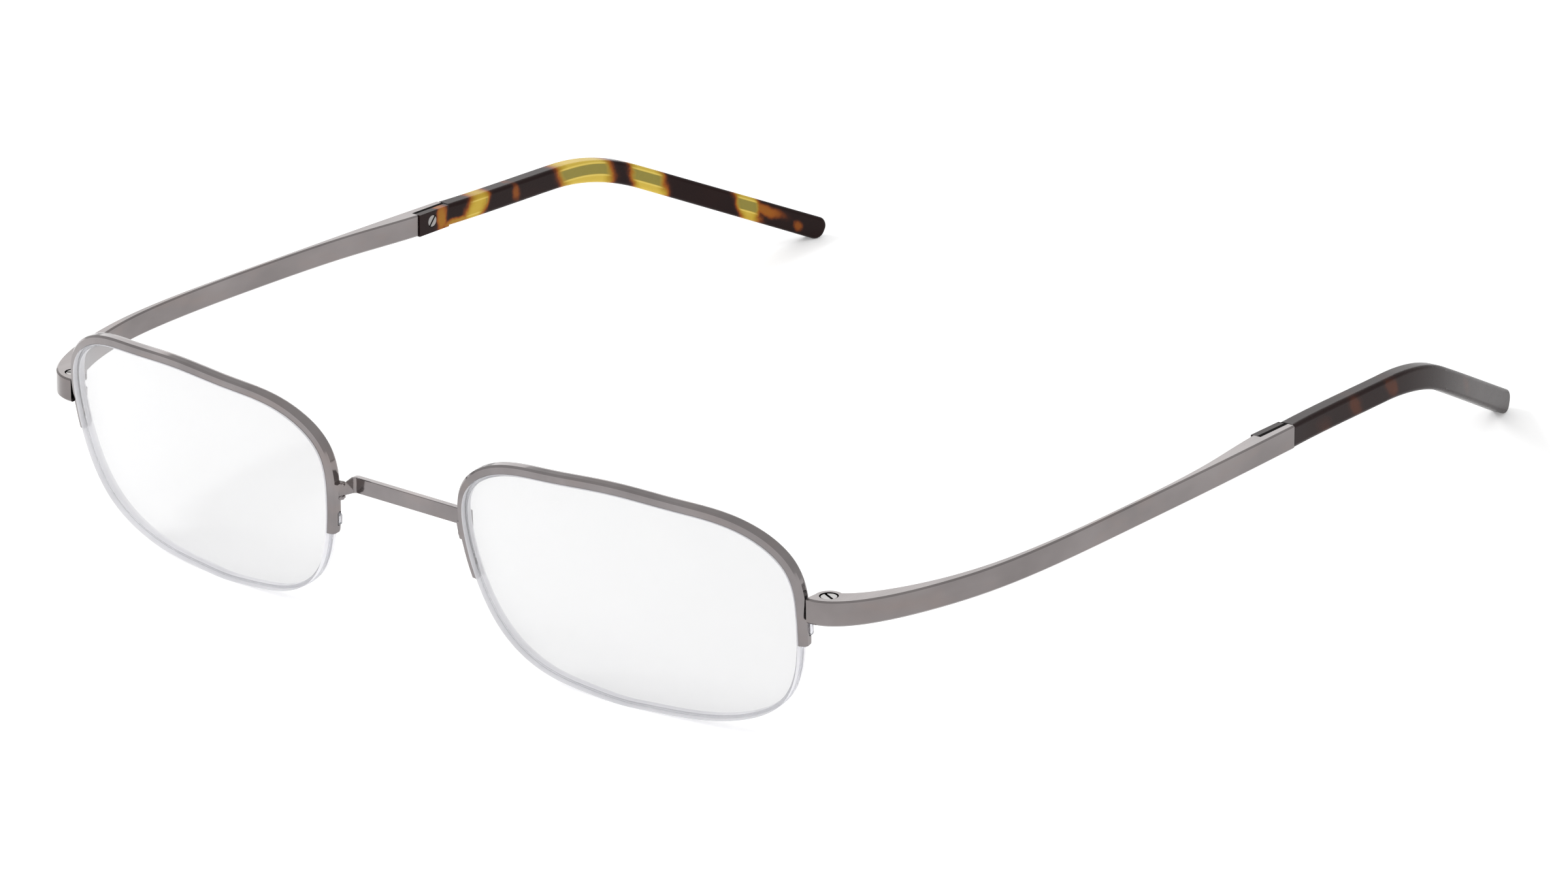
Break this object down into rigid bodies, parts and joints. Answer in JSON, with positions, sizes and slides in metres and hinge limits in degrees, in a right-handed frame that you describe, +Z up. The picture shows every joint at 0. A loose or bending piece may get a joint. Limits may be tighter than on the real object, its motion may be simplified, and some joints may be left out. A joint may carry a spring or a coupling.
{
  "type": "half rim eyeglasses",
  "caption": "Eyeglasses with grooved upper half rims, lenses hung on clear nylon cord, a saddle bridge, folding metal temples and screwed-on acetate tips.",
  "frame": {"origin": "on the symmetry plane, at table height, halfway between the front of the lenses and the back of the temple tips", "axes": "+X the wearer's left, +Y back towards the ears, so the lenses face -Y, +Z up"},
  "size_m": [0.139, 0.1532, 0.0291],
  "materials": {
    "rim_metal": "warm grey metal, satin, with bright bevels",
    "temple_metal": "warm grey metal, finely brushed along its length",
    "screw_metal": "bright turned steel",
    "washer_plastic": "thin pale washers",
    "lens_clear": "clear, polished, with a ground edge",
    "clear_nylon": "clear nylon, slightly milky",
    "tip_acetate": "polished dark tortoise acetate with amber and yellow patches",
    "core_metal": "plain drawn metal"
  },
  "bodies": {
    "front": {"rim_left": "rim_metal", "rim_right": "rim_metal", "rim_liner_left": "clear_nylon", "rim_liner_right": "clear_nylon", "lens_left": "lens_clear", "lens_right": "lens_clear", "lens_cord_left": "clear_nylon", "lens_cord_right": "clear_nylon", "bridge": "rim_metal", "bridge_foot_left": "rim_metal", "bridge_foot_right": "rim_metal", "hinge_eye_left": "rim_metal", "hinge_eye_right": "rim_metal"},
    "left_temple": {"temple_left": "temple_metal", "tip_left": "tip_acetate", "tip_core_left": "core_metal", "tip_screw_left": "screw_metal", "hinge_screw_left": "screw_metal", "hinge_washers_left": "washer_plastic"},
    "right_temple": {"temple_right": "temple_metal", "tip_right": "tip_acetate", "tip_core_right": "core_metal", "tip_screw_right": "screw_metal", "hinge_screw_right": "screw_metal", "hinge_washers_right": "washer_plastic"}
  },
  "joints": [
    {"name": "left_hinge", "type": "hinge", "parent": "front", "child": "left_temple", "pos_m": [0.0592, -0.06783, 0.0179], "axis": [-0.0227, 0, 0.9997], "range_deg": [0, 90]},
    {"name": "right_hinge", "type": "hinge", "parent": "front", "child": "right_temple", "pos_m": [-0.0592, -0.06783, 0.0179], "axis": [-0.0227, 0, -0.9997], "range_deg": [0, 80]}
  ]
}
